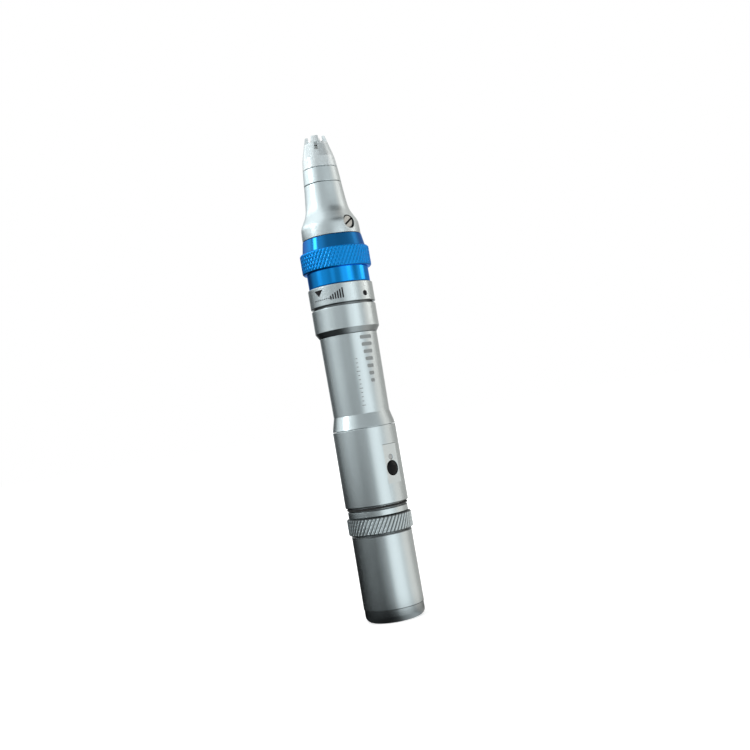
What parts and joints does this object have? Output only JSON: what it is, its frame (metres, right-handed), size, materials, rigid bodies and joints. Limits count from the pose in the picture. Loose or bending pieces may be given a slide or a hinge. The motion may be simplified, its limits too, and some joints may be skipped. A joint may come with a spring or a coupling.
{
  "type": "microneedling pen",
  "caption": "Slim cordless microneedling handpiece with a screw-on battery, a thumb button, a knurled depth ring and a clear bayonet needle cartridge.",
  "frame": {"origin": "centre of the flat base of the end cap", "axes": "+Z along the pen's axis towards the needles, -Y out through the power button, +X to the right seen from the button side with the needles up"},
  "size_m": [0.0242, 0.0242, 0.169],
  "materials": {
    "silver_anodised": "bead blasted and clear anodised, satin",
    "blue_anodised": "blue anodised, glossy",
    "steel": "turned stainless steel",
    "bronze": "sintered bronze, matt",
    "brass": "plated contact brass",
    "black_plastic": "polished moulding",
    "white_plastic": "fine moulded matt",
    "rubber": "matt nitrile rubber",
    "clear_plastic": "clear medical polycarbonate, slightly milky",
    "board_green": "green solder mask over fibreglass",
    "cell_can": "steel can in a shrunk green plastic sleeve",
    "red_wire": "red wire insulation",
    "black_wire": "black wire insulation"
  },
  "bodies": {
    "body": {"tail_ferrule": "silver_anodised", "tail_seal": "rubber", "contact_board": "board_green", "contact_pin": "brass", "rear_housing": "silver_anodised", "circuit_board": "board_green", "tact_switch": "black_plastic", "status_led": "white_plastic", "indicator_lens": "clear_plastic", "board_cradle": "white_plastic", "battery_lead_minus": "black_wire", "battery_lead_plus": "red_wire", "motor_lead_minus": "black_wire", "motor_lead_plus": "red_wire", "main_barrel": "silver_anodised", "motor_can": "steel", "motor_endbell": "black_plastic", "motor_terminal_left": "brass", "motor_terminal_right": "brass", "motor_damper": "rubber", "motor_plate": "steel", "guide_tube": "steel", "lower_bush": "bronze", "upper_bush": "bronze", "rod_wiper": "rubber", "rod_spring": "steel", "front_housing": "silver_anodised", "scale_collar": "silver_anodised"},
    "battery": {"end_cap": "silver_anodised", "battery_shell": "silver_anodised", "battery_cell": "cell_can", "cell_insulator": "black_plastic", "contact_spring": "steel", "collar_clip": "steel"},
    "collar": {"battery_collar": "silver_anodised"},
    "button": {"power_button": "black_plastic"},
    "rotor": {"motor_shaft": "steel", "wobble_cam": "bronze"},
    "rod": {"push_rod": "steel", "cam_follower": "steel", "follower_roller": "steel"},
    "dial": {"depth_ring": "blue_anodised", "ring_retainer": "steel"},
    "nose": {"nose_cone": "silver_anodised", "guide_screw": "steel", "lock_ring": "silver_anodised"},
    "seal": {"cartridge_seal": "rubber"},
    "cartridge": {"cartridge_nozzle": "clear_plastic", "cartridge_barrel": "white_plastic", "cartridge_spring": "steel"},
    "needles": {"needle_carrier": "white_plastic", "needle_cluster": "steel"}
  },
  "joints": [
    {"name": "battery_pull", "type": "slide", "parent": "body", "child": "battery", "axis": [0, 0, -1], "range_m": [0, 0.012]},
    {"name": "battery_collar_turn", "type": "hinge", "parent": "battery", "child": "collar", "pos_m": [0, 0, 0.03], "axis": [0, 0, 1], "range_deg": [0, 450]},
    {"name": "button_press", "type": "slide", "parent": "body", "child": "button", "axis": [0, 1, 0], "range_m": [0, 0.0005], "stiffness_N_per_m": 1000, "springref_m": -0.0005},
    {"name": "motor_spin", "type": "hinge", "parent": "body", "child": "rotor", "pos_m": [0, 0, 0.09475], "axis": [0, 0, 1], "continuous": true},
    {"name": "push_rod_stroke", "type": "slide", "parent": "body", "child": "rod", "axis": [0, 0, 1], "range_m": [0, 0.0028], "stiffness_N_per_m": 300, "springref_m": -0.002, "deforming": ["rod_spring"]},
    {"name": "depth_ring_turn", "type": "hinge", "parent": "body", "child": "dial", "pos_m": [0, 0, 0.11595], "axis": [0, 0, 1], "range_deg": [0, 324]},
    {"name": "nose_travel", "type": "slide", "parent": "body", "child": "nose", "axis": [0, 0, 1], "range_m": [0, 0.00225]},
    {"name": "cartridge_twist", "type": "hinge", "parent": "nose", "child": "seal", "pos_m": [0, 0, 0.1485], "axis": [0, 0, 1], "range_deg": [0, 45]},
    {"name": "cartridge_pull", "type": "slide", "parent": "seal", "child": "cartridge", "axis": [0, 0, 1], "range_m": [0, 0.016]},
    {"name": "needle_stroke", "type": "slide", "parent": "cartridge", "child": "needles", "axis": [0, 0, 1], "range_m": [0, 0.0028], "deforming": ["cartridge_spring"]}
  ],
  "couplings": [
    {"joint": "depth_ring_turn", "follows": "nose_travel", "rad_per_m": 2513.2},
    {"joint": "needle_stroke", "follows": "push_rod_stroke", "ratio": 1}
  ]
}
